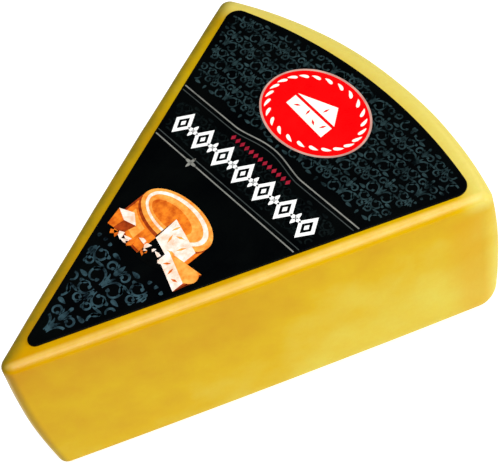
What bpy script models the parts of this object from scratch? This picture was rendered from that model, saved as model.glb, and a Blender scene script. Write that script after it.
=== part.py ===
"""A wedge of hard cheese cut from a small wheel, with a printed label lying on its top face.

Units are metres and +Z is up. The wedge rests on its lower flat face, its tip points towards -X and its
rind faces +X. The origin is at the middle of the wedge's length and width, on the surface that it rests on.
"""

import math

import bmesh
import bpy
import numpy as np

# The wheel and the wedge cut from it.
WHEEL_RADIUS = 0.110
WEDGE_ANGLE = math.radians(47.3)
HEIGHT = 0.042

# How the packed wedge swells: its rind and tip at half their height, its cut faces at half their length.
RIND_BULGE = 0.0012
TIP_BULGE = 0.0014
TIP_BULGE_REACH = 0.030  # how far from the wheel's axis the tip's bulge fades out
CUT_FACE_BOW = 0.0005

# The wedge's rounded edges and corners. Its lower edge grows rounder from the tip to the rind.
TIP_RADIUS = 0.0025
TOP_CORNER_RADIUS = 0.0023
BOTTOM_CORNER_RADIUS = 0.0058
TOP_EDGE_RADIUS = 0.0021
BOTTOM_EDGE_RADIUS_AT_TIP = 0.0013
BOTTOM_EDGE_RADIUS_AT_RIND = 0.0054

# The label on the top face.
LABEL_SIDE_MARGIN = 0.0034  # from each cut face
LABEL_RIND_MARGIN = 0.0047  # from the middle of the rind
LABEL_ARC_RADIUS = 0.130
LABEL_TIP_RADIUS = 0.0018
LABEL_CORNER_RADIUS = 0.0030
LABEL_THICKNESS = 0.0003
LABEL_GAP = 0.0003

# How finely the curved stretches are divided.
TIP_STEPS = 5  # from the middle of the tip to a cut face
SIDE_STEPS = 12  # along a cut face
CORNER_STEPS = 6
RIM_STEPS = 14  # from a corner to the middle of the rind
EDGE_STEPS = 5  # round each rounded edge
WALL_STEPS = 8  # up the wall between them
SMOOTH_BELOW = math.radians(30)

HALF_ANGLE = WEDGE_ANGLE / 2
CUT_TURN = math.pi / 2 + HALF_ANGLE  # the near cut face looks this far clockwise from +X
CUT_LENGTH = WHEEL_RADIUS * math.cos(HALF_ANGLE)

CHEESE_YELLOW = (0.74, 0.48, 0.06)
LABEL_BLACK = (0.006, 0.009, 0.009)


def clear_scene():
    for thing in list(bpy.data.objects):
        bpy.data.objects.remove(thing, do_unlink=True)


def material(name, color, roughness):
    finish = bpy.data.materials.new(name)
    finish.use_nodes = True
    shader = finish.node_tree.nodes["Principled BSDF"]
    shader.inputs["Base Color"].default_value = (*color, 1)
    shader.inputs["Roughness"].default_value = roughness
    shader.inputs["Metallic"].default_value = 0
    return finish


def arc(centre, radius, start, end, steps):
    """Points on an arc, and the direction in which each faces away from the arc's centre."""
    turns = np.linspace(start, end, steps + 1)
    facing = np.stack([np.cos(turns), np.sin(turns)], axis=1)
    return np.array(centre) + radius * facing, facing


def half_sector(margin, rim_centre_x, rim_radius, tip_radius, corner_radius, side_steps):
    """The near half of a wedge's outline seen from above, from the middle of its tip to that of its rim.

    The wheel's axis is at (0, 0), and the outline's straight side runs margin inside the plane of the
    cut. It gives the points and the direction in which the outline faces at each.
    """
    tip_centre = ((margin + tip_radius) / math.sin(HALF_ANGLE), 0)
    along = np.array([math.cos(HALF_ANGLE), -math.sin(HALF_ANGLE)])
    inwards = np.array([math.sin(HALF_ANGLE), math.cos(HALF_ANGLE)])
    rim_centre = np.array([rim_centre_x, 0])
    side_start = inwards * (margin + corner_radius) - rim_centre
    behind = side_start @ along
    reach = rim_radius - corner_radius
    side_run = math.sqrt(behind**2 - side_start @ side_start + reach**2) - behind
    corner_centre = rim_centre + side_start + side_run * along
    corner_turn = math.atan2(rim_centre[1] - corner_centre[1], corner_centre[0] - rim_centre[0])

    tip, tip_facing = arc(tip_centre, tip_radius, -math.pi, -CUT_TURN, TIP_STEPS)
    corner, corner_facing = arc(corner_centre, corner_radius, -CUT_TURN, -corner_turn, CORNER_STEPS)
    rim, rim_facing = arc(rim_centre, rim_radius, -corner_turn, 0, RIM_STEPS)
    share = np.linspace(0, 1, side_steps + 1)[1:-1, None]
    side = tip[-1] + share * (corner[0] - tip[-1])
    side_facing = np.repeat([-inwards], len(side), axis=0)
    points = np.concatenate([tip, side, corner, rim[1:]])
    facing = np.concatenate([tip_facing, side_facing, corner_facing, rim_facing[1:]])
    return points, facing


def whole_outline(near_half):
    """The closed outline, anticlockwise from its tip, of which near_half is the half with negative y."""
    near_half = near_half.copy()
    near_half[[0, -1], 1] = 0
    mirrored = near_half[-2:0:-1].copy()
    mirrored[:, 1] *= -1
    return np.concatenate([near_half, mirrored])


def wedge_levels():
    """(share, turn) of each ring of the wedge, from its lower flat face to its upper one.

    The share is how far up the wall the ring lies. The turn is how far the surface there has tipped from
    the upright, towards the lower flat face if it is negative and towards the upper one if positive.
    """
    turns = np.linspace(0, math.pi / 2, EDGE_STEPS + 1)
    bottom = [(0, -turn) for turn in turns[::-1]]
    wall = [(share, 0) for share in np.linspace(0, 1, WALL_STEPS + 1)[1:-1]]
    top = [(1, turn) for turn in turns]
    return bottom + wall + top


def wedge_ring(share, turn):
    """The points of the wedge's outline at one level, as wedge_levels gives it."""
    corner_radius = BOTTOM_CORNER_RADIUS + share * (TOP_CORNER_RADIUS - BOTTOM_CORNER_RADIUS)
    points, facing = half_sector(0, 0, WHEEL_RADIUS, TIP_RADIUS, corner_radius, SIDE_STEPS)
    from_axis = points[:, 0]
    bottom_radius = np.interp(
        from_axis, [0, WHEEL_RADIUS], [BOTTOM_EDGE_RADIUS_AT_TIP, BOTTOM_EDGE_RADIUS_AT_RIND]
    )
    edge_radius = bottom_radius if turn < 0 else TOP_EDGE_RADIUS
    wall_height = HEIGHT - TOP_EDGE_RADIUS - bottom_radius
    heights = bottom_radius + share * wall_height + edge_radius * math.sin(turn)
    inset = edge_radius * (1 - math.cos(turn))

    swell = np.sin(math.pi * heights / HEIGHT)
    cut_share = np.clip(from_axis / CUT_LENGTH, 0, 1)
    cut_facing_x = -math.sin(HALF_ANGLE)
    rind_share = np.clip((facing[:, 0] - cut_facing_x) / (math.cos(HALF_ANGLE) - cut_facing_x), 0, 1)
    outwards = RIND_BULGE * swell * rind_share + CUT_FACE_BOW * 4 * cut_share * (1 - cut_share) - inset
    points = points + facing * outwards[:, None]
    points[:, 0] -= TIP_BULGE * swell * np.clip(1 - from_axis / TIP_BULGE_REACH, 0, 1) ** 2
    return whole_outline(np.column_stack([points, heights]))


def loft(name, rings):
    """A closed mesh through rings with the same number of points, the first and the last filled flat."""
    shape = bmesh.new()
    loops = [[shape.verts.new(point) for point in ring] for ring in rings]
    for lower, upper in zip(loops, loops[1:]):
        for here in range(len(lower)):
            after = (here + 1) % len(lower)
            shape.faces.new((lower[here], lower[after], upper[after], upper[here]))
    shape.faces.new(loops[0][::-1])
    shape.faces.new(loops[-1])
    mesh = bpy.data.meshes.new(name)
    shape.to_mesh(mesh)
    shape.free()
    mesh.shade_smooth()
    mesh.set_sharp_from_angle(angle=SMOOTH_BELOW)
    return mesh


def make_cheese():
    """The solid wedge, lofted because its outline changes all the way up."""
    mesh = loft("cheese", [wedge_ring(share, turn) for share, turn in wedge_levels()])
    mesh.materials.append(material("cheese", CHEESE_YELLOW, 0.42))
    return bpy.data.objects.new("cheese", mesh)


def make_label():
    """The label, a flat sheet in the wedge's shape with a margin of cheese all round it."""
    near_half, _ = half_sector(
        LABEL_SIDE_MARGIN,
        WHEEL_RADIUS - LABEL_RIND_MARGIN - LABEL_ARC_RADIUS,
        LABEL_ARC_RADIUS,
        LABEL_TIP_RADIUS,
        LABEL_CORNER_RADIUS,
        side_steps=1,
    )
    outline = whole_outline(near_half)
    sheet = bpy.data.curves.new("label", "CURVE")
    sheet.dimensions = "2D"
    sheet.fill_mode = "BOTH"
    sheet.extrude = LABEL_THICKNESS / 2
    edge = sheet.splines.new("POLY")
    edge.points.add(len(outline) - 1)
    for point, (x, y) in zip(edge.points, outline):
        point.co = (x, y, 0, 1)
    edge.use_cyclic_u = True
    sheet.materials.append(material("label", LABEL_BLACK, 0.3))
    label = bpy.data.objects.new("label", sheet)
    label.location.z = HEIGHT + LABEL_GAP + LABEL_THICKNESS / 2
    return label


def main():
    clear_scene()
    collection = bpy.data.collections.new("parmesan cheese wedge")
    bpy.context.scene.collection.children.link(collection)
    cheese = make_cheese()
    ends = [vertex.co.x for vertex in cheese.data.vertices]
    wheel_axis = bpy.data.objects.new("wheel_axis", None)
    wheel_axis.location.x = -(min(ends) + max(ends)) / 2
    collection.objects.link(wheel_axis)
    for piece in (cheese, make_label()):
        collection.objects.link(piece)
        piece.parent = wheel_axis


main()
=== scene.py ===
"""A packed wedge of hard cheese with a printed label on its top, standing on a pale studio floor.

The wedge and its label are made again with finer meshes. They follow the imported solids, but for a flatter
rounding along the wedge's top edge and a label that lies a little askew. The label's print is ink lying on
it: scrollwork, ruled lines, two rows of ornaments, an oval seal and a picture.

Units are metres. The label's artwork is laid out in millimetres from the wheel's axis: along runs from the
tip to the rind, and across runs from the near cut face to the far one. Colours are sRGB in steps of 255.
"""

import math

import bmesh
import bpy
import numpy as np
from mathutils import Matrix, Vector, noise


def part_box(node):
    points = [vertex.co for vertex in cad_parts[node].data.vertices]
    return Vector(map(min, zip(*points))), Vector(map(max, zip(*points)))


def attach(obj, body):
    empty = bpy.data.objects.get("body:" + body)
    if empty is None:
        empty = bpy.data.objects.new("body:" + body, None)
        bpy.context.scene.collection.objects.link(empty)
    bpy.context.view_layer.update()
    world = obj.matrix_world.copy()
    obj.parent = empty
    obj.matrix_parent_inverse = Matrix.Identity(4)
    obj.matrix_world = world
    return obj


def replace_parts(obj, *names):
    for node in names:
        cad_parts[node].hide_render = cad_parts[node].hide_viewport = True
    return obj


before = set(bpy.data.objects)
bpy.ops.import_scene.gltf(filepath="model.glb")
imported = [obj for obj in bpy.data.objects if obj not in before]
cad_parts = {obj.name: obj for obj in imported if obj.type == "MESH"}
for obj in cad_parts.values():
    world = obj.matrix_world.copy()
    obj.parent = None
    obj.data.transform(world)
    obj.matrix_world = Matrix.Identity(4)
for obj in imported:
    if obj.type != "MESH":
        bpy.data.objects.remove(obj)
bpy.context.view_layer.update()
cheese_low, cheese_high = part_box("cheese")
label_low, label_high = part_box("label")

MM = 0.001

# The wheel and the wedge cut from it. All but the top edge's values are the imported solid's too.
WHEEL_RADIUS = 0.110
HALF_ANGLE = math.radians(47.3) / 2
HEIGHT = cheese_high.z - cheese_low.z
RIND_BULGE = 0.0012
TIP_BULGE = 0.0014
TIP_BULGE_REACH = 0.030
CUT_FACE_BOW = 0.0005
TIP_RADIUS = 0.0025
TOP_CORNER_RADIUS = 0.0023
BOTTOM_CORNER_RADIUS = 0.0058
TOP_EDGE_HEIGHT_AT_CUTS = 0.0015  # how far down the top edge's rounding starts
TOP_EDGE_HEIGHT_AT_RIND = 0.0021
TOP_SHOULDER = 0.0030  # how far in from the wall it reaches
BOTTOM_EDGE_RADIUS_AT_TIP = 0.0013
BOTTOM_EDGE_RADIUS_AT_RIND = 0.0054
AXIS_X = cheese_high.x - WHEEL_RADIUS - RIND_BULGE
CUT_TURN = math.pi / 2 + HALF_ANGLE
CUT_LENGTH = WHEEL_RADIUS * math.cos(HALF_ANGLE)
LEAST_RADIUS = 0.4 * MM  # of a corner that an inset has shrunk

# The wedge's own fine mesh, and the faint unevenness under its film.
TIP_STEPS = 12
SIDE_STEPS = 90
CORNER_STEPS = 12
RIM_STEPS = 45
EDGE_STEPS = 10
WALL_STEPS = 34
CAP_RINGS = 24
RELIEF_HEIGHT = 0.10 * MM
RELIEF_SIZE = 22 * MM
FINE_RELIEF = 0.35  # the height and the size of its finer waves, as shares of the main ones'
RELIEF_FADE_AT_BASE = 6 * MM
RELIEF_FADE_AT_LABEL = 1 * MM

# The label.
LABEL_SIDE_MARGIN = 0.0034
LABEL_RIND_MARGIN = 0.0047
LABEL_ARC_RADIUS = 0.130
LABEL_ARC_CENTRE_X = WHEEL_RADIUS - LABEL_RIND_MARGIN - LABEL_ARC_RADIUS
LABEL_TIP_RADIUS = 0.0018
LABEL_CORNER_RADIUS = 0.0030
LEAST_LABEL_RADIUS = 0.1 * MM
LABEL_SIDE_STEPS = 30
LABEL_EDGE_RADIUS = 0.10 * MM
LABEL_SINK = 0.05 * MM  # how deep the sheet's foot reaches into the cheese
LABEL_BORDER = 1.0 * MM  # the width of the mesh's outermost flat strip
LABEL_TURN = math.radians(-0.5)  # it lies a little askew, about its middle
LABEL_MIDDLE = Vector((AXIS_X + 0.060, 0, 0))
LABEL_TOP = (label_low.z + label_high.z) / 2
INK_STEP = 0.015 * MM  # each layer of print lies this much above the one under it

# The print's places and sizes on the label, in millimetres.
SEAL_CENTRE = (91.0, 0.8)
SEAL_RADII = (10.6, 14.6)  # along and across
SEAL_RIM = 0.5
WREATH_INSET = 2.5
WREATH_PITCH = 15  # degrees from leaf to leaf
WREATH_SLANT = 58  # degrees from the way out of the seal
WREATH_LEAF = (2.4, 0.8, 30)  # length, width and bend

SCROLLS_START = 78.6  # where the upper field of scrollwork begins along the label
TIP_SCROLLS_END = 38.6
SCROLLS_MARGIN = 1.2
SCROLL_PITCH = (13.2, 16.0)  # for a fleuron of full size
SCROLL_COLUMNS = range(-7, 8)
SCROLL_ROWS = range(11)
FLEURON_REACH = 6.0
SHORTEST_RUN = 8  # points of a stroke that the edge of its field cuts off
LEAST_STROKE_WIDTH = 0.05
FLAKE_HALF_WIDTH = 0.28

LOWER_RULE = 63.5
UPPER_RULE = 76.6
RULE_WIDTH = 0.30
INNER_RULE_WIDTH = 0.7 * RULE_WIDTH
RULE_GAP = 1.1
RULE_END_GAP = 0.5
RULE_STEPS = 90
BUMP_HEIGHT = 1.6
BUMP_HALF_WIDTH = 11.0
KNOT_ACROSS = 11.0
KNOT_HALF_GAP = 1.6
KNOT_WIDTH = 0.75

ROW_ALONG = 69.4
ROW_HALF_LENGTH = 21.0
ROW_COUNT = 7
LOZENGE_RADII = (2.7, 1.9)
LOZENGE_LINE = 0.85
LOZENGE_EYE_RADII = (0.85, 0.62)
QUATREFOIL_LEAF = (1.7, 1.0)  # length and width
SMALL_ROW_ALONG = 74.4
SMALL_ROW_HALF_LENGTH = 9.2
SMALL_ROW_COUNT = 13
SMALL_LOZENGE_RADII = (0.8, 0.55)

# The picture on the label, in millimetres right and up of its middle.
PICTURE_CENTRE = (49.4, -0.4)
PICTURE_SIZE = 1.06
ROUND_MIDDLE = (-1.6, 2.3)
ROUND_RADII = (10.2, 4.9)
ROUND_WALL = 5.6
CUT_START = -88
CUT_END = -28
CUT_OVERLAP = 0.3  # how far the gap's dark shape reaches past the round cheese's outline
CRUMB_COUNT = 14
CRUMB_CORNERS = 5

# The photograph's view: from above the tip's side, rolled anticlockwise.
CAMERA_AZIMUTH = -25.97
CAMERA_ELEVATION = 54.17
CAMERA_ROLL = -18.06
CAMERA_DISTANCE = 0.3420
CAMERA_AIM = (0.0682 + AXIS_X, 0, 0.0132)
CAMERA_LENS = 106.86
CAMERA_SENSOR = 36
CAMERA_SHIFT = (-0.0264, 0.0411)
CAMERA_CLIP_START = 0.01

FLOOR_SIZE = 30
FLOOR_GLOW = 0.72
WORLD_STRENGTH = 0.03


# Materials.


def linear(colour):
    """The linear colour, with its alpha, of an sRGB one."""
    shares = np.array(colour) / 255
    linear_shares = np.where(shares <= 0.04045, shares / 12.92, ((shares + 0.055) / 1.055) ** 2.4)
    return (*linear_shares.tolist(), 1)


class Finish:
    """A Principled material, whose other nodes are added one at a time."""

    def __init__(self, name, **sockets):
        self.material = bpy.data.materials.new(name)
        self.material.use_nodes = True
        self.tree = self.material.node_tree
        self.shader = self.tree.nodes["Principled BSDF"]
        for socket, value in sockets.items():
            self.shader.inputs[socket.replace("_", " ").title().replace("Ior", "IOR")].default_value = value
        self.position = self.add("TexCoord").outputs["Object"]

    def add(self, kind, inputs=None, **settings):
        """A new node with its settings and its inputs, each of which is a value or another node's output."""
        node = self.tree.nodes.new("ShaderNode" + kind)
        for name, value in settings.items():
            setattr(node, name, value)
        for socket, value in (inputs or {}).items():
            self.plug(node.inputs[socket], value)
        return node

    def plug(self, socket, value):
        """Links another node's output to a socket, or gives the socket a value."""
        if isinstance(value, bpy.types.NodeSocket):
            self.tree.links.new(value, socket)
        else:
            socket.default_value = value

    def math(self, operation, first, second, clamp=False):
        return self.add("Math", {0: first, 1: second}, operation=operation, use_clamp=clamp).outputs[0]

    def vector(self, operation, first, second=(0, 0, 0)):
        return self.add("VectorMath", {0: first, 1: second}, operation=operation).outputs

    def noise(self, size, detail, roughness=0.5):
        """Noise from 0 to 1 whose blotches are about size wide."""
        inputs = {"Vector": self.position, "Scale": 1 / size, "Detail": detail, "Roughness": roughness}
        return self.add("TexNoise", inputs).outputs["Fac"]

    def ramp(self, share, stops):
        """A colour for each share, from stops of (share, colour)."""
        node = self.add("ValToRGB", {"Fac": share})
        for _ in stops[2:]:
            node.color_ramp.elements.new(0.5)
        for element, (place, colour) in zip(node.color_ramp.elements, stops):
            element.position = place
            element.color = linear(colour)
        return node.outputs["Color"]

    def span(self, value, low, high, out_low=0.0, out_high=1.0, smooth=False):
        """The value's place between low and high, as a number from out_low to out_high."""
        inputs = {"Value": value, "From Min": low, "From Max": high, "To Min": out_low, "To Max": out_high}
        kind = "SMOOTHSTEP" if smooth else "LINEAR"
        return self.add("MapRange", inputs, interpolation_type=kind).outputs["Result"]

    def bump(self, height, depth, normal=None):
        """The normal of a surface that rises by up to depth as height says, over another bump's normal."""
        inputs = {"Height": height, "Distance": depth, "Strength": 1.0}
        if normal is not None:
            inputs["Normal"] = normal
        return self.add("Bump", inputs).outputs["Normal"]

    def feed(self, socket, output):
        """Links an output to one of the shader's own sockets."""
        self.plug(self.shader.inputs[socket], output)


class WedgeFinish(Finish):
    """A finish painted on the wedge in layers, with the measures that say where each layer goes.

    Its colour is what has been painted so far.
    """

    def __init__(self, name, **sockets):
        super().__init__(name, **sockets)
        place = self.add("SeparateXYZ", {"Vector": self.position}).outputs
        self.lengthwise, self.crosswise, self.height = place["X"], place["Y"], place["Z"]
        from_axis = self.vector("ADD", self.position, (-AXIS_X, 0, 0))[0]
        flat = self.vector("MULTIPLY", from_axis, (1, 1, 0))[0]
        near_cut = (math.sin(HALF_ANGLE), math.cos(HALF_ANGLE), 0)
        far_cut = (math.sin(HALF_ANGLE), -math.cos(HALF_ANGLE), 0)
        self.inside_near_cut = self.vector("DOT_PRODUCT", flat, near_cut)["Value"]
        self.inside_far_cut = self.vector("DOT_PRODUCT", flat, far_cut)["Value"]
        self.radius = self.vector("LENGTH", flat)["Value"]
        raggedness = self.span(self.noise(9 * MM, 3.0), 0.25, 0.75, -0.6 * MM, 0.6 * MM)
        self.ragged_radius = self.math("ADD", self.radius, raggedness)
        self.at_top = self.span(self.height, HEIGHT - 4 * MM, HEIGHT - 1 * MM)
        self.patchiness = self.span(self.noise(4 * MM, 3.0), 0.3, 0.7, 0.7, 1.2)

    def paint(self, colour, *shares):
        """Lays a colour over what is there, as much as the product of the shares says."""
        share = shares[0]
        for other in shares[1:]:
            share = self.math("MULTIPLY", share, other)
        inputs = {0: share, 6: self.colour, 7: linear(colour)}
        self.colour = self.add("Mix", inputs, data_type="RGBA").outputs[2]


def paint_golden_body(finish):
    """Golden yellow with wide blotches and a finer mottle, and painted light: paler low down, where the
    floor's bounce falls, and towards the rind, where the key light falls.
    """
    # Painted light: the paleness low down stands for light bounced from the floor, and the paleness towards
    # the rind for the key light.
    low = finish.span(finish.height, HEIGHT, 0.0, 0.0, 0.46)
    painted_light_to_rind = finish.span(finish.lengthwise, cheese_low.x, cheese_high.x, 0.08, 0.52)
    blotches = finish.span(finish.noise(26 * MM, 2.0), 0.25, 0.75, -0.16, 0.16)
    mottle = finish.span(finish.noise(7 * MM, 3.0), 0.25, 0.75, -0.10, 0.10)
    uneven = finish.math("ADD", blotches, mottle)
    paleness_and_painted_light = finish.math("ADD", finish.math("ADD", low, painted_light_to_rind), uneven, clamp=True)
    finish.colour = finish.ramp(paleness_and_painted_light, [(0.0, (189, 134, 0)), (0.5, (206, 168, 2)), (1.0, (213, 200, 80))])


def paint_rind_and_top_highlight(finish):
    """The rind's pale cream, faint down its wall and strongest round its top edge, where it is partly the
    rind's own colour and partly a painted highlight.
    """
    rind = finish.span(
        finish.ragged_radius, WHEEL_RADIUS - 8 * MM, WHEEL_RADIUS - 2 * MM, 0.0, 0.8, smooth=True
    )
    # Partly the rind's own colour, partly a painted highlight round the top edge.
    finish.paint((212, 201, 106), rind, finish.span(finish.at_top, 0.0, 1.0, 0.12, 1.0))


def paint_far_edge_shade(finish):
    """Painted shade: a patchy dark olive along the far cut's top edge, which turns away from the light."""
    painted_shade_at_far_cut = finish.span(finish.inside_far_cut, 4.5 * MM, 0.5 * MM, 0.0, 0.78, smooth=True)
    # The dark olive here is painted shade along the far top edge.
    finish.paint((118, 108, 24), painted_shade_at_far_cut, finish.at_top, finish.patchiness)


def paint_near_cut(finish):
    """The near cut's amber end beside the rind, and a pale patchy painted highlight along its top edge."""
    rind_end = finish.span(
        finish.ragged_radius, WHEEL_RADIUS - 14 * MM, WHEEL_RADIUS - 7 * MM, 0.0, 0.5, smooth=True
    )
    before_rind = finish.span(finish.radius, WHEEL_RADIUS - 1 * MM, WHEEL_RADIUS - 4 * MM)
    on_near_cut = finish.span(finish.inside_near_cut, 2.0 * MM, 0.8 * MM)
    below_top = finish.span(finish.height, HEIGHT - 2 * MM, HEIGHT - 5 * MM)
    finish.paint((206, 150, 0), rind_end, before_rind, on_near_cut, below_top)

    # A painted highlight: pale cream along the near cut's top edge.
    painted_highlight_at_near_cut = finish.span(finish.inside_near_cut, 2.6 * MM, 1.5 * MM, smooth=True)
    near_top_highlight = finish.span(finish.height, HEIGHT - 0.7 * MM, HEIGHT - 0.1 * MM)
    towards_rind = finish.span(finish.radius, 20 * MM, 80 * MM, 0.4, 0.65)
    finish.paint((242, 208, 118), painted_highlight_at_near_cut, near_top_highlight, towards_rind, finish.patchiness)


def paint_tip_highlight_and_shade(finish):
    """A pale painted highlight down the tip, where the clear film's edge catches the light, with a painted
    shade beside it.
    """
    on_tip = finish.span(finish.radius, 6.5 * MM, 4.5 * MM)
    below_top = finish.span(finish.at_top, 1.0, 0.0)
    tip_highlight = finish.span(finish.crosswise, -1.3 * MM, -0.3 * MM, 0.0, 0.55, smooth=True)
    # A pale painted highlight down the tip's edge.
    finish.paint((222, 212, 158), on_tip, below_top, tip_highlight)

    shade = finish.span(finish.crosswise, -2.4 * MM, -1.5 * MM, 0.0, 0.3, smooth=True)
    clear_of_tip_highlight = finish.span(finish.crosswise, -0.6 * MM, -1.3 * MM)
    # A dark olive painted shade beside the highlight.
    finish.paint((120, 100, 20), on_tip, below_top, shade, clear_of_tip_highlight)


def grain_and_wrinkle(finish):
    """The cheese's fine brown grain, which also roughens it, and the film's soft wrinkles."""
    grain = finish.span(finish.noise(0.9 * MM, 3.0, 0.6), 0.3, 0.7)
    finish.paint((196, 132, 12), grain, 0.10)
    wrinkles = finish.bump(finish.noise(11 * MM, 2.0), 0.25 * MM)
    finish.feed("Normal", finish.bump(grain, 0.012 * MM, wrinkles))


def cheese_finish():
    """Golden cheese under clear film, which is the coat."""
    finish = WedgeFinish(
        "cheese",
        roughness=0.45,
        specular_ior_level=0.0,
        coat_weight=0.22,
        coat_roughness=0.25,
        subsurface_weight=0.12,
        subsurface_scale=0.8 * MM,
        subsurface_radius=(1.0, 0.5, 0.1),
    )
    paint_golden_body(finish)
    paint_rind_and_top_highlight(finish)
    paint_far_edge_shade(finish)
    paint_near_cut(finish)
    paint_tip_highlight_and_shade(finish)
    grain_and_wrinkle(finish)
    finish.feed("Base Color", finish.colour)
    return finish.material


def ink_finish(name, dark, light, patch):
    """Printed ink whose colour wanders between two close ones, with the paper's fine tooth in its gloss."""
    finish = Finish(name, specular_ior_level=0.04)
    shade = finish.span(finish.noise(patch, 3.0, 0.6), 0.3, 0.7)
    finish.feed("Base Color", finish.ramp(shade, [(0.0, dark), (1.0, light)]))
    tooth = finish.noise(0.5 * MM, 2.0)
    finish.feed("Roughness", finish.span(tooth, 0.3, 0.7, 0.25, 0.35))
    finish.feed("Normal", finish.bump(tooth, 0.004 * MM))
    return finish.material


def floor_finish():
    """White acrylic lit from below, as a product photographer's table is."""
    finish = Finish("floor", roughness=0.9, emission_color=(1, 1, 1, 1), emission_strength=FLOOR_GLOW)
    shade = finish.ramp(finish.noise(0.3, 2.0), [(0.0, (196, 196, 196)), (1.0, (204, 204, 204))])
    finish.feed("Base Color", shade)
    return finish.material


# The wedge's and the label's outlines.


def arc(centre, radius, start, end, steps):
    """Points on an arc, and the direction in which each faces away from the arc's centre."""
    turns = np.linspace(start, end, steps + 1)
    facing = np.stack([np.cos(turns), np.sin(turns)], axis=1)
    return np.array(centre) + radius * facing, facing


def half_sector(margin, rim_centre_x, rim_radius, tip_radius, corner_radius, side_steps):
    """The near half of a wedge's outline seen from above, from the middle of its tip to that of its rim.

    The wheel's axis is at (0, 0), and the outline's straight side runs margin inside the plane of the
    cut. It gives the points and the direction in which the outline faces at each.
    """
    tip_centre = ((margin + tip_radius) / math.sin(HALF_ANGLE), 0)
    along = np.array([math.cos(HALF_ANGLE), -math.sin(HALF_ANGLE)])
    inwards = np.array([math.sin(HALF_ANGLE), math.cos(HALF_ANGLE)])
    rim_centre = np.array([rim_centre_x, 0])
    side_start = inwards * (margin + corner_radius) - rim_centre
    behind = side_start @ along
    reach = rim_radius - corner_radius
    side_run = math.sqrt(behind**2 - side_start @ side_start + reach**2) - behind
    corner_centre = rim_centre + side_start + side_run * along
    corner_turn = math.atan2(rim_centre[1] - corner_centre[1], corner_centre[0] - rim_centre[0])

    tip, tip_facing = arc(tip_centre, tip_radius, -math.pi, -CUT_TURN, TIP_STEPS)
    corner, corner_facing = arc(corner_centre, corner_radius, -CUT_TURN, -corner_turn, CORNER_STEPS)
    rim, rim_facing = arc(rim_centre, rim_radius, -corner_turn, 0, RIM_STEPS)
    share = np.linspace(0, 1, side_steps + 1)[1:-1, None]
    side = tip[-1] + share * (corner[0] - tip[-1])
    side_facing = np.repeat([-inwards], len(side), axis=0)
    points = np.concatenate([tip, side, corner, rim[1:]])
    facing = np.concatenate([tip_facing, side_facing, corner_facing, rim_facing[1:]])
    return points, facing


def whole_outline(near_half):
    """The closed outline, anticlockwise from its tip, of which near_half is the half with negative y."""
    near_half = near_half.copy()
    near_half[[0, -1], 1] = 0
    mirrored = near_half[-2:0:-1].copy()
    mirrored[:, 1] *= -1
    return np.concatenate([near_half, mirrored])


def wedge_levels():
    """(share, turn) of each ring of the wedge, from its lower flat face to its upper one.

    The share is how far up the wall the ring lies. The turn is how far the surface there has tipped from
    the upright, towards the lower flat face if it is negative and towards the upper one if positive.
    """
    turns = np.linspace(0, math.pi / 2, EDGE_STEPS + 1)
    bottom = [(0, -turn) for turn in turns[::-1]]
    wall = [(share, 0) for share in np.linspace(0, 1, WALL_STEPS + 1)[1:-1]]
    top = [(1, turn) for turn in turns]
    return bottom + wall + top


def wedge_ring(share, turn):
    """The points of the wedge's outline at one level, as wedge_levels gives it."""
    corner_radius = BOTTOM_CORNER_RADIUS + share * (TOP_CORNER_RADIUS - BOTTOM_CORNER_RADIUS)
    top_inset = TOP_SHOULDER * (1 - math.cos(turn)) if turn > 0 else 0
    points, facing = half_sector(
        top_inset,
        0,
        WHEEL_RADIUS - top_inset,
        max(TIP_RADIUS - top_inset, LEAST_RADIUS),
        max(corner_radius - top_inset, LEAST_RADIUS),
        SIDE_STEPS,
    )
    from_axis = points[:, 0]
    bottom_radius = np.interp(
        from_axis, [0, WHEEL_RADIUS], [BOTTOM_EDGE_RADIUS_AT_TIP, BOTTOM_EDGE_RADIUS_AT_RIND]
    )
    cut_facing_x = -math.sin(HALF_ANGLE)
    rind_share = np.clip((facing[:, 0] - cut_facing_x) / (math.cos(HALF_ANGLE) - cut_facing_x), 0, 1)
    top_height = TOP_EDGE_HEIGHT_AT_CUTS + rind_share * (TOP_EDGE_HEIGHT_AT_RIND - TOP_EDGE_HEIGHT_AT_CUTS)
    edge_height = bottom_radius if turn < 0 else top_height
    wall_height = HEIGHT - top_height - bottom_radius
    heights = bottom_radius + share * wall_height + edge_height * math.sin(turn)
    bottom_inset = bottom_radius * (1 - math.cos(turn)) if turn < 0 else 0

    swell = np.sin(math.pi * heights / HEIGHT)
    cut_share = np.clip(from_axis / CUT_LENGTH, 0, 1)
    outwards = RIND_BULGE * swell * rind_share + CUT_FACE_BOW * 4 * cut_share * (1 - cut_share) - bottom_inset
    points = points + facing * outwards[:, None]
    points[:, 0] -= TIP_BULGE * swell * np.clip(1 - from_axis / TIP_BULGE_REACH, 0, 1) ** 2
    return whole_outline(np.column_stack([points, heights]))


def label_outline(inset):
    """An outline that runs inset inside the label's own, seen from above."""
    near_half, _ = half_sector(
        LABEL_SIDE_MARGIN + inset,
        LABEL_ARC_CENTRE_X,
        LABEL_ARC_RADIUS - inset,
        max(LABEL_TIP_RADIUS - inset, LEAST_LABEL_RADIUS),
        max(LABEL_CORNER_RADIUS - inset, LEAST_LABEL_RADIUS),
        LABEL_SIDE_STEPS,
    )
    return whole_outline(near_half)


def inside(outline, points):
    """Whether each point is inside a convex anticlockwise outline."""
    edges = np.roll(outline, -1, axis=0) - outline
    to_points = points[:, None] - outline[None]
    across = edges[None, :, 0] * to_points[..., 1] - edges[None, :, 1] * to_points[..., 0]
    return (across >= 0).all(axis=1)


# The wedge and the label's sheet.


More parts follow.
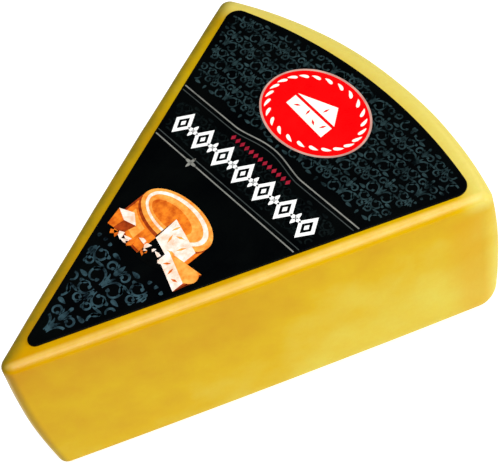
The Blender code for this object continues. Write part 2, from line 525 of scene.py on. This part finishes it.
def lofted(name, rings, finish):
    """An object lofted through rings of points, the first and last closed by fans to their middles."""
    shape = bmesh.new()
    loops = [[shape.verts.new((x + AXIS_X, y, z)) for x, y, z in ring] for ring in rings]
    for lower, upper in zip(loops, loops[1:]):
        for here in range(len(lower)):
            after = (here + 1) % len(lower)
            shape.faces.new((lower[here], lower[after], upper[after], upper[here]))
    for loop, order in ((loops[0], -1), (loops[-1], 1)):
        middle = shape.verts.new(sum((corner.co for corner in loop), Vector()) / len(loop))
        for here in range(len(loop)):
            corners = (loop[here], loop[(here + 1) % len(loop)], middle)
            shape.faces.new(corners[::order])
    mesh = bpy.data.meshes.new(name)
    shape.to_mesh(mesh)
    shape.free()
    mesh.shade_smooth()
    mesh.materials.append(finish)
    piece = bpy.data.objects.new(name, mesh)
    bpy.context.scene.collection.objects.link(piece)
    return piece


def shrunk(ring, share):
    """The ring drawn in towards its middle, by share of the way."""
    middle = ring.mean(axis=0)
    return middle + (ring - middle) * (1 - share)


def make_wedge():
    """The cheese, with a faint unevenness under its film on its walls and edges, fading out towards the face
    that it stands on and to nothing on its flat top.
    """
    rings = [wedge_ring(share, turn) for share, turn in wedge_levels()]
    shares = np.linspace(0, 1, CAP_RINGS + 1)[1:-1]
    lower = [shrunk(rings[0], share) for share in shares[::-1]]
    upper = [shrunk(rings[-1], share) for share in shares]
    wedge = lofted("wedge_body", lower + rings + upper, cheese_finish())
    normals = [vertex.normal.copy() for vertex in wedge.data.vertices]
    for vertex, normal in zip(wedge.data.vertices, normals):
        place = vertex.co
        clear_of_base = min(place.z / RELIEF_FADE_AT_BASE, 1)
        clear_of_label = min((HEIGHT - place.z) / RELIEF_FADE_AT_LABEL, 1)
        fine_rise = FINE_RELIEF * noise.noise(place / (RELIEF_SIZE * FINE_RELIEF))
        rise = noise.noise(place / RELIEF_SIZE) + fine_rise
        vertex.co += normal * RELIEF_HEIGHT * rise * clear_of_base * clear_of_label
    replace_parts(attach(wedge, "root"), "cheese")


def label_turned():
    """The turn of the label and its print about the label's middle."""
    turn = Matrix.Rotation(LABEL_TURN, 4, "Z")
    return Matrix.Translation(LABEL_MIDDLE) @ turn @ Matrix.Translation(-LABEL_MIDDLE)


def make_label():
    """The label's sheet, lying on the cheese with its edge rounded down to it."""
    thickness = LABEL_TOP - HEIGHT
    straight = thickness - LABEL_EDGE_RADIUS
    edge = [(0.0, -LABEL_SINK)]
    for turn in np.linspace(0, math.pi / 2, 5):
        inset = LABEL_EDGE_RADIUS * (1 - math.cos(turn))
        edge.append((inset, straight + LABEL_EDGE_RADIUS * math.sin(turn)))
    edge.append((LABEL_BORDER, thickness))
    rings = []
    for inset, rise in edge:
        outline = label_outline(inset)
        rings.append(np.column_stack([outline, np.full(len(outline), HEIGHT + rise)]))
    rings += [shrunk(rings[-1], share) for share in (0.25, 0.5, 0.75)]
    sheet = lofted("label_sheet", rings, ink_finish("label black", (1, 2, 3), (4, 6, 6), 9 * MM))
    sheet.data.transform(label_turned())
    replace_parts(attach(sheet, "root"), "label")


# The print. Its shapes are drawn in millimetres.


class Ink:
    """One print colour: flat closed slabs on the label, gathered into one piece."""

    def __init__(self, layer, field=None, outline=None):
        """The field says which points a stroke may cover, and the outline is one that it stays in."""
        self.shape = bmesh.new()
        self.layer = layer
        self.field = field
        self.outline = outline

    def rows(self, points, layer=None):
        """The upper and the lower points of a slab over these points."""
        high = LABEL_TOP + (layer or self.layer) * INK_STEP
        places = [(along * MM + AXIS_X, across * MM) for along, across in points]
        upper = [self.shape.verts.new((x, y, high)) for x, y in places]
        lower = [self.shape.verts.new((x, y, LABEL_TOP - INK_STEP)) for x, y in places]
        return upper, lower

    def fill(self, outline, layer=None):
        """A slab with this outline."""
        upper, lower = self.rows(outline, layer)
        self.shape.faces.new(upper)
        self.shape.faces.new(lower[::-1])
        for here in range(len(upper)):
            after = (here + 1) % len(upper)
            self.shape.faces.new((upper[after], upper[here], lower[here], lower[after]))

    def stroke(self, line, widths, closed=False):
        """A ribbon along a line, cut off where its field ends. Short scraps of it are left out there."""
        line = np.asarray(line, float)
        left, right = ribbon_edges(line, np.broadcast_to(widths, len(line)), closed)
        if self.field is None:
            self.ribbon(left, right, closed)
            return
        kept = self.field(left) & self.field(right)
        kept &= inside(self.outline, left) & inside(self.outline, right)
        run = []
        for station in range(len(line) + 1):
            if station < len(line) and kept[station]:
                run.append(station)
                continue
            if len(run) >= SHORTEST_RUN:
                self.ribbon(left[run], right[run])
            run = []

    def ribbon(self, left, right, closed=False):
        """A slab between two edges with the same number of points."""
        left_upper, left_lower = self.rows(left)
        right_upper, right_lower = self.rows(right)
        sections = list(zip(left_upper, right_upper, right_lower, left_lower))
        for here, after in zip(sections, sections[1:] + sections[:1] * closed):
            for side in range(4):
                beside = (side + 1) % 4
                self.shape.faces.new((here[side], here[beside], after[beside], after[side]))
        if not closed:
            self.shape.faces.new(sections[0][::-1])
            self.shape.faces.new(sections[-1])

    def piece(self, name, finish):
        """The object that holds all of this ink's slabs."""
        bmesh.ops.recalc_face_normals(self.shape, faces=self.shape.faces)
        mesh = bpy.data.meshes.new(name)
        self.shape.to_mesh(mesh)
        self.shape.free()
        mesh.transform(label_turned())
        mesh.materials.append(finish)
        piece = bpy.data.objects.new(name, mesh)
        bpy.context.scene.collection.objects.link(piece)
        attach(piece, "root")


def ribbon_edges(line, widths, closed):
    """The left and right edges of a ribbon along a line, mitred where the line bends."""
    if closed:
        before = line - np.roll(line, 1, axis=0)
        after = np.roll(line, -1, axis=0) - line
    else:
        steps = np.diff(line, axis=0)
        before = np.concatenate([steps[:1], steps])
        after = np.concatenate([steps, steps[-1:]])
    before = before / np.linalg.norm(before, axis=1)[:, None]
    after = after / np.linalg.norm(after, axis=1)[:, None]
    beside = np.stack([-(before + after)[:, 1], (before + after)[:, 0]], axis=1)
    reach = widths / 2 / np.maximum(1 + (before * after).sum(axis=1), 0.5)
    offset = beside * reach[:, None]
    return line + offset, line - offset


def ellipse(centre, along_radius, across_radius, steps=48):
    """Points round a whole ellipse."""
    turns = np.linspace(0, 2 * math.pi, steps, endpoint=False)
    reach = np.stack([along_radius * np.cos(turns), across_radius * np.sin(turns)], axis=1)
    return np.array(centre) + reach


def lozenge(centre, along_radius, across_radius):
    return ellipse(centre, along_radius, across_radius, 4)


def curved(start, heading, length, bend, width_at, tightening=1.0, steps=20):
    """A line that leaves start on a heading and turns by bend on its way, and its width at each point."""
    shares = np.linspace(0, 1, steps)
    turns = np.radians(heading + bend * shares**tightening)
    walk = np.stack([np.cos(turns), np.sin(turns)], axis=1)[:-1] * length / (steps - 1)
    line = np.array(start) + np.concatenate([[[0, 0]], np.cumsum(walk, axis=0)])
    return line, np.array([max(width_at(share), LEAST_STROKE_WIDTH) for share in shares])


def heading_of(line, here):
    """The direction of the line's piece that starts at its point number here, in degrees."""
    along, across = line[here + 1] - line[here]
    return math.degrees(math.atan2(across, along))


def leaf(start, heading, length, width, bend=0.0):
    """A leaf that is round at its foot and pointed at its tip. Headings and bends are in degrees."""
    return curved(start, heading, length, bend, lambda share: width * math.sin(math.pi * share**0.65) ** 0.7)


def volute(start, heading, length, width, bend, lobes=2):
    """A scroll that winds in to a bud, with leaves along its outer side."""

    def width_at(share):
        return width * (0.45 + 0.55 * math.sin(math.pi * share))

    line, widths = curved(start, heading, length, bend, width_at, tightening=1.35, steps=24)
    side = math.copysign(1, bend)
    bud = leaf(line[-1], heading_of(line, -2) + 20 * side, width * 1.6, width * 1.5)
    strokes = [(line, widths), bud]
    for share in np.linspace(0.16, 0.46, lobes):
        here = int(share * (len(line) - 1))
        leaf_heading = heading_of(line, here) - 48 * side
        strokes.append(leaf(line[here], leaf_heading, 0.2 * length, width * 1.1, 70 * side))
    return strokes


def fleuron():
    """A lily of scrolls about 13 mm high and 11 mm wide that grows along +along through the origin."""
    strokes = [leaf((3.7, 0), 0, 2.8, 1.2), leaf((0.6, 0), 0, 2.2, 0.8)]
    strokes += [leaf((-1.0, 0), 180, 2.6, 0.9), leaf((-5.9, 0), 180, 1.5, 0.8)]
    for side in (-1, 1):
        strokes += volute((0.5, 0.45 * side), 3 * side, 9.6, 0.56, 318 * side)
        strokes += volute((-0.7, 0.45 * side), 177 * side, 7.8, 0.54, -318 * side)
        strokes += volute((4.4, 0.75 * side), 12 * side, 5.2, 0.5, 310 * side, 1)
        strokes += volute((-3.7, 0.4 * side), 160 * side, 4.4, 0.46, -300 * side, 1)
        strokes.append(leaf((0.1, 3.9 * side), 90 * side, 2.2, 0.9))
        strokes.append(leaf((-4.4, 3.5 * side), 80 * side, 2.1, 0.8, -60 * side))
        strokes.append(leaf((5.6, 3.6 * side), 110 * side, 2.1, 0.8, -70 * side))
    return strokes


def in_upper_field(points):
    """Whether each point lies above the rules and outside the seal."""
    to_seal = (points - SEAL_CENTRE) / (np.array(SEAL_RADII) - SEAL_RIM)
    return (points[:, 0] > SCROLLS_START) & (np.linalg.norm(to_seal, axis=1) > 1)


def in_tip_field(points):
    """Whether each point lies below the picture."""
    return points[:, 0] < TIP_SCROLLS_END


def in_band(points):
    """Whether each point lies between the two double rules."""
    return (points[:, 0] > LOWER_RULE + 2 * RULE_GAP) & (points[:, 0] < UPPER_RULE - 2 * RULE_GAP)


def make_scrollwork():
    """Damask of fleurons in dark grey-green on the black: fine, larger at the tip, and faint in the band."""
    pitch_along, pitch_across = SCROLL_PITCH
    outline = label_outline(SCROLLS_MARGIN * MM) / MM
    for name, field, last_place, size, dark, light in (
        ("label_scrollwork", in_upper_field, WHEEL_RADIUS / MM, 0.80, (3, 8, 10), (46, 67, 70)),
        ("label_tip_scrollwork", in_tip_field, TIP_SCROLLS_END, 1.12, (6, 12, 17), (56, 83, 92)),
        ("label_band_scrollwork", in_band, UPPER_RULE, 0.80, (2, 4, 5), (18, 26, 26)),
    ):
        ink = Ink(1, field, outline)
        for column in SCROLL_COLUMNS:
            for row in SCROLL_ROWS:
                row_place = row + (column % 2) / 2
                place = np.array([row_place * pitch_along * size, column * pitch_across / 2 * size])
                beyond_side = abs(place[1]) > place[0] * math.tan(HALF_ANGLE) + FLEURON_REACH
                if place[0] > last_place or beyond_side:
                    continue
                for line, widths in fleuron():
                    ink.stroke(place + size * line, size * widths)
        ink.piece(name, ink_finish(name, dark, light, 2.2 * MM))


def rule_reach(along):
    """How far a ruled line across the label reaches to each side before the label's edge."""
    return (along * math.sin(HALF_ANGLE) - LABEL_SIDE_MARGIN / MM) / math.cos(HALF_ANGLE) - RULE_END_GAP


def bumped(along, across):
    """The upper rule's place at this distance across: it swells towards the rind in the middle."""
    swell = 0.5 + 0.5 * np.cos(math.pi * np.clip(across / BUMP_HALF_WIDTH, -1, 1))
    return along + BUMP_HEIGHT * swell**0.8


def make_rules():
    """The two double lines that part the label into three fields, the lower one with a small knot in it."""
    outer = Ink(2)
    inner = Ink(2)
    reach = rule_reach(LOWER_RULE)
    for start, end in ((-reach, KNOT_ACROSS - KNOT_HALF_GAP), (KNOT_ACROSS + KNOT_HALF_GAP, reach)):
        outer.stroke([(LOWER_RULE, start), (LOWER_RULE, end)], RULE_WIDTH)
    for turn, length in ((0, 1.5), (180, 1.5), (90, 1.9), (-90, 1.9)):
        outer.stroke(*leaf((LOWER_RULE, KNOT_ACROSS), turn, length, KNOT_WIDTH))
    reach = rule_reach(LOWER_RULE + RULE_GAP)
    inner.stroke([(LOWER_RULE + RULE_GAP, -reach), (LOWER_RULE + RULE_GAP, reach)], INNER_RULE_WIDTH)
    upper_rules = ((outer, UPPER_RULE, RULE_WIDTH), (inner, UPPER_RULE - RULE_GAP, INNER_RULE_WIDTH))
    for ink, along, width in upper_rules:
        across = np.linspace(-rule_reach(along), rule_reach(along), RULE_STEPS)
        ink.stroke(np.stack([bumped(along, across), across], axis=1), width)
    outer.piece("label_rules", ink_finish("rule ink", (104, 106, 101), (138, 138, 131), 4 * MM))
    inner.piece("label_inner_rules", ink_finish("inner rule ink", (44, 50, 50), (70, 76, 74), 4 * MM))


def make_ornament_rows():
    """A white border of open lozenges with quatrefoils between them, and a small dark red one above it."""
    white = Ink(2)
    places = np.linspace(-ROW_HALF_LENGTH, ROW_HALF_LENGTH, ROW_COUNT)
    for across in places:
        white.stroke(lozenge((ROW_ALONG, across), *LOZENGE_RADII), LOZENGE_LINE, closed=True)
        white.fill(lozenge((ROW_ALONG, across), *LOZENGE_EYE_RADII))
    for across in (places[1:] + places[:-1]) / 2:
        for turn in (0, 90, 180, 270):
            white.stroke(*leaf((ROW_ALONG, across), turn, *QUATREFOIL_LEAF))
    white.piece("label_ornament_row", ink_finish("white ink", (236, 238, 236), (250, 250, 248), 3 * MM))
    red = Ink(2)
    for across in np.linspace(-SMALL_ROW_HALF_LENGTH, SMALL_ROW_HALF_LENGTH, SMALL_ROW_COUNT):
        red.fill(lozenge((SMALL_ROW_ALONG, across), *SMALL_LOZENGE_RADII))
    red.piece("label_small_row", ink_finish("dark red ink", (128, 18, 38), (168, 34, 54), 3 * MM))


def as_read(centre, points, size=1.0):
    """Points given right and up of centre, as the label is read, in its own along and across."""
    return [(centre[0] + size * up, centre[1] - size * right) for right, up in points]


def flake(place, length, turn):
    """A short pointed crack in the cheese."""
    heading = np.array([math.cos(math.radians(turn)), math.sin(math.radians(turn))])
    beside = np.array([-heading[1], heading[0]])
    place = np.array(place)
    along, across = length * heading, FLAKE_HALF_WIDTH * beside
    return [place - along, place - across, place + along, place + across]


def make_seal():
    """The oval red seal with a pale rim, a wreath of leaves and a small wedge of cheese."""
    along_radius, across_radius = SEAL_RADII
    rim = Ink(2)
    rim.fill(ellipse(SEAL_CENTRE, along_radius, across_radius, 96))
    red = Ink(3)
    red.fill(ellipse(SEAL_CENTRE, along_radius - SEAL_RIM, across_radius - SEAL_RIM, 96))
    cream = Ink(4)
    wreath = ellipse(SEAL_CENTRE, along_radius - WREATH_INSET, across_radius - WREATH_INSET, 360)
    for turn in range(0, 360, WREATH_PITCH):
        cream.stroke(*leaf(wreath[turn], turn + WREATH_SLANT, *WREATH_LEAF))
    wedge_front = [(-7.0, -2.4), (6.2, -3.8), (6.2, -0.6), (-7.0, 0.4)]
    wedge_top = [(-7.0, 1.1), (6.2, 0.1), (3.0, 4.2)]
    cream.fill(as_read(SEAL_CENTRE, wedge_front))
    cream.fill(as_read(SEAL_CENTRE, wedge_top))
    flakes = ((-4.6, -1.2, 30), (-1.2, -1.0, 100), (1.8, -2.2, 150), (4.4, -1.6, 60), (1.6, 1.9, 75))
    for right, up, turn in flakes:
        red.fill(as_read(SEAL_CENTRE, flake((right, up), 0.9, turn)), layer=5)
    rim.piece("label_seal_rim", ink_finish("seal rim ink", (176, 128, 118), (206, 164, 150), 4 * MM))
    red.piece("label_seal", ink_finish("seal red ink", (226, 4, 8), (248, 10, 12), 6 * MM))
    cream.piece("label_seal_motif", ink_finish("cream ink", (250, 240, 222), (255, 250, 240), 3 * MM))


# The picture on the label. A higher layer lies over a lower one.


def rim_arc(centre, radii, start, end, steps=14):
    """Points right and up of the middle of an ellipse's arc between two turns in degrees."""
    turns = np.radians(np.linspace(start, end, steps))
    return [(centre[0] + radii[0] * math.cos(turn), centre[1] + radii[1] * math.sin(turn)) for turn in turns]


def lowered(points, drop):
    return [(right, up - drop) for right, up in points]


def wall_under(rim, start, end):
    """The outline of the wall that hangs from a rim, between these distances below it."""
    return lowered(rim, start) + lowered(rim, end)[::-1]


def below(start, end, share, drop):
    """The point at share of the way from start to end, lowered by drop."""
    return start[0] + share * (end[0] - start[0]), start[1] + share * (end[1] - start[1]) - drop


class Picture:
    """The picture's inks by their colours' names. A shape without a layer of its own lies on its ink's."""

    def __init__(self):
        self.inks = {"rust": Ink(2), "orange": Ink(3), "amber": Ink(4), "cream": Ink(5), "shade": Ink(6)}

    def draw(self, colour, points, layer=None):
        self.inks[colour].fill(as_read(PICTURE_CENTRE, points, PICTURE_SIZE), layer)


def draw_round_cheese(picture):
    """The round cheese: its wall, lit from the left, and its top with a pale ring near the rim."""
    wall = rim_arc(ROUND_MIDDLE, ROUND_RADII, 180, 360, 30)
    picture.draw("rust", wall_under(wall, 0, ROUND_WALL))
    lit = rim_arc(ROUND_MIDDLE, ROUND_RADII, 198, CUT_START + 360, 18)
    picture.draw("orange", wall_under(lit, 0.7, ROUND_WALL - 0.5))
    glow = rim_arc(ROUND_MIDDLE, ROUND_RADII, 214, 252, 10)
    picture.draw("amber", wall_under(glow, 1.2, ROUND_WALL - 1.4))
    right_side = rim_arc(ROUND_MIDDLE, ROUND_RADII, CUT_END + 2, -6, 8)
    picture.draw("orange", wall_under(right_side, 0.7, ROUND_WALL - 0.6))
    for colour, middle, radii, steps, layer in (
        ("amber", ROUND_MIDDLE, ROUND_RADII, 48, 4),
        ("cream", (-1.8, 2.5), (9.0, 4.1), 44, 5),
        ("amber", (-2.0, 2.4), (8.0, 3.4), 40, 6),
        ("orange", (-2.8, 2.0), (6.0, 2.3), 36, 7),
    ):
        picture.draw(colour, rim_arc(middle, radii, 0, 360, steps)[:-1], layer)


def draw_gap(picture):
    """The dark gap that a wedge was cut out of, with a bright and a dimmer cut face and their flakes."""
    gap_radii = (ROUND_RADII[0] + CUT_OVERLAP, ROUND_RADII[1] + CUT_OVERLAP)
    rim = rim_arc(ROUND_MIDDLE, gap_radii, CUT_START, CUT_END)
    foot = lowered(rim, ROUND_WALL + 0.4)[::-1] + lowered([ROUND_MIDDLE], ROUND_WALL)
    picture.draw("shade", [ROUND_MIDDLE] + rim + foot, 8)
    picture.draw("cream", wall_under([ROUND_MIDDLE, rim[-1]], 0, ROUND_WALL), 9)
    picture.draw("orange", wall_under([ROUND_MIDDLE, rim[0]], 0, ROUND_WALL), 9)
    flakes = ((0.2, 0.9, 70), (0.45, 1.2, 20), (0.3, 3.1, 110), (0.7, 2.2, 60), (0.6, 4.3, 10))
    for share, drop, turn in flakes:
        picture.draw("amber", flake(below(ROUND_MIDDLE, rim[-1], share, drop), 1.1, turn), 10)


def draw_loose_wedge(picture):
    """The wedge that was cut out, lying with its tip to the left and its rind to the right."""
    tip, far, near = (3.4, -3.6), (12.6, -2.6), (11.4, -6.4)
    thickness = 2.6
    rind = rim_arc((11.0, -4.4), (2.0, 1.8), 50, -65, 8)
    picture.draw("rust", [far] + rind + [near] + lowered([near, far], thickness), 11)
    picture.draw("amber", [tip, near] + rind[::-1] + [far], 12)
    picture.draw("cream", wall_under([tip, near], 0, thickness), 12)
    for share, turn in ((0.25, 40), (0.5, 100), (0.78, 15)):
        picture.draw("orange", flake(below(tip, near, share, 1.4), 0.9, turn), 13)


def draw_broken_piece(picture):
    """A broken piece on the left: its dimmer front, its pale top and its shaded right side."""
    left, back, right, front = (-12.8, -4.0), (-9.4, -2.6), (-6.6, -4.4), (-9.6, -5.2)
    right_foot = (-7.4, -7.4)
    picture.draw("orange", [left, back, right, right_foot, (-11.6, -8.0)], 9)
    picture.draw("cream", [left, back, right, front], 10)
    picture.draw("rust", [front, right, right_foot, (-9.9, -7.8)], 10)


def crumb_outline(place, size, number):
    """An uneven crumb, different for each number."""
    corners = range(CRUMB_CORNERS)
    turns = [number + math.tau / CRUMB_CORNERS * corner for corner in corners]
    reaches = [size * (0.75 + 0.4 * math.sin(3.1 * number + 2.3 * corner)) for corner in corners]
    return [(place[0] + 1.3 * r * math.cos(t), place[1] + r * math.sin(t)) for t, r in zip(turns, reaches)]


def draw_crumbs(picture):
    """Crumbs strewn in front of the round cheese, ever further from their middle."""
    for number in range(CRUMB_COUNT):
        turn = number * 2.4
        right = -3.0 + 5.6 * math.cos(turn) * (0.5 + number / 16)
        up = -7.0 + 1.4 * math.sin(turn * 1.7)
        size = 0.5 + 0.45 * abs(math.sin(number * 1.9))
        picture.draw("cream" if number % 3 else "orange", crumb_outline((right, up), size, number), 14)


def make_picture():
    """A round cheese with a wedge cut out of it, a loose wedge, a broken piece and crumbs."""
    picture = Picture()
    draw_round_cheese(picture)
    draw_gap(picture)
    draw_loose_wedge(picture)
    draw_broken_piece(picture)
    draw_crumbs(picture)
    for name, dark, light in (
        ("rust", (104, 32, 10), (178, 70, 22)),
        ("orange", (184, 74, 16), (246, 136, 36)),
        ("amber", (226, 124, 34), (250, 178, 84)),
        ("cream", (232, 190, 160), (255, 246, 238)),
        ("shade", (2, 3, 3), (6, 7, 7)),
    ):
        finish = ink_finish("picture " + name, dark, light, 1.6 * MM)
        picture.inks[name].piece("label_picture_" + name, finish)


# The floor, the light and the camera.


def make_floor():
    bpy.ops.mesh.primitive_plane_add(size=FLOOR_SIZE, location=(0, 0, cheese_low.z))
    floor = bpy.context.object
    floor.name = "floor"
    floor.data.materials.append(floor_finish())


def towards(azimuth, elevation):
    """The direction to something seen at this azimuth and elevation: azimuth 0 is -Y and 90 is +X."""
    azimuth, elevation = math.radians(azimuth), math.radians(elevation)
    level = math.cos(elevation)
    return Vector((math.sin(azimuth) * level, -math.cos(azimuth) * level, math.sin(elevation)))


def softbox(name, place, rotation, length, width, power):
    """A rectangular softbox, which faces straight down where its rotation is nought."""
    data = bpy.data.lights.new(name, "AREA")
    data.shape = "RECTANGLE"
    data.size = length
    data.size_y = width
    data.energy = power
    light = bpy.data.objects.new(name, data)
    light.location = place
    light.rotation_euler = rotation
    bpy.context.scene.collection.objects.link(light)


def aimed_softbox(name, azimuth, elevation, distance, size, power):
    """A square softbox that faces the middle of the wedge."""
    back = towards(azimuth, elevation)
    place = Vector((0, 0, HEIGHT / 2)) + back * distance
    softbox(name, place, back.to_track_quat("Z", "Y").to_euler(), size, size, power)


def make_light():
    """A dim white world, three softboxes round the wedge, and one overhead along its near cut."""
    world = bpy.data.worlds.new("studio")
    world.use_nodes = True
    background = world.node_tree.nodes["Background"]
    background.inputs["Color"].default_value = (1.0, 1.0, 1.0, 1)
    background.inputs["Strength"].default_value = WORLD_STRENGTH
    bpy.context.scene.world = world
    aimed_softbox("key", azimuth=28, elevation=30, distance=0.9, size=0.4, power=4.2)
    aimed_softbox("front", azimuth=-26, elevation=52, distance=0.9, size=0.3, power=1.1)
    softbox("overhead", (-0.050, -0.130, 0.7), (0, 0, -HALF_ANGLE), length=0.42, width=0.22, power=4.2)
    aimed_softbox("rim", azimuth=105, elevation=28, distance=0.8, size=0.3, power=1.0)


def make_camera():
    """The camera, aimed by its azimuth and elevation and then rolled."""
    data = bpy.data.cameras.new("camera")
    data.lens = CAMERA_LENS
    data.sensor_width = CAMERA_SENSOR
    data.shift_x, data.shift_y = CAMERA_SHIFT
    data.clip_start = CAMERA_CLIP_START
    camera = bpy.data.objects.new("camera", data)
    place = Vector(CAMERA_AIM) + towards(CAMERA_AZIMUTH, CAMERA_ELEVATION) * CAMERA_DISTANCE
    pan = Matrix.Rotation(math.radians(CAMERA_AZIMUTH), 4, "Z")
    tilt = Matrix.Rotation(math.radians(90 - CAMERA_ELEVATION), 4, "X")
    roll = Matrix.Rotation(math.radians(CAMERA_ROLL), 4, "Z")
    camera.matrix_world = Matrix.Translation(place) @ pan @ tilt @ roll
    bpy.context.scene.collection.objects.link(camera)
    bpy.context.scene.camera = camera


def main():
    bpy.context.scene.view_settings.view_transform = "Standard"
    make_camera()
    make_wedge()
    make_label()
    make_scrollwork()
    make_rules()
    make_ornament_rows()
    make_picture()
    make_seal()
    make_floor()
    make_light()


main()
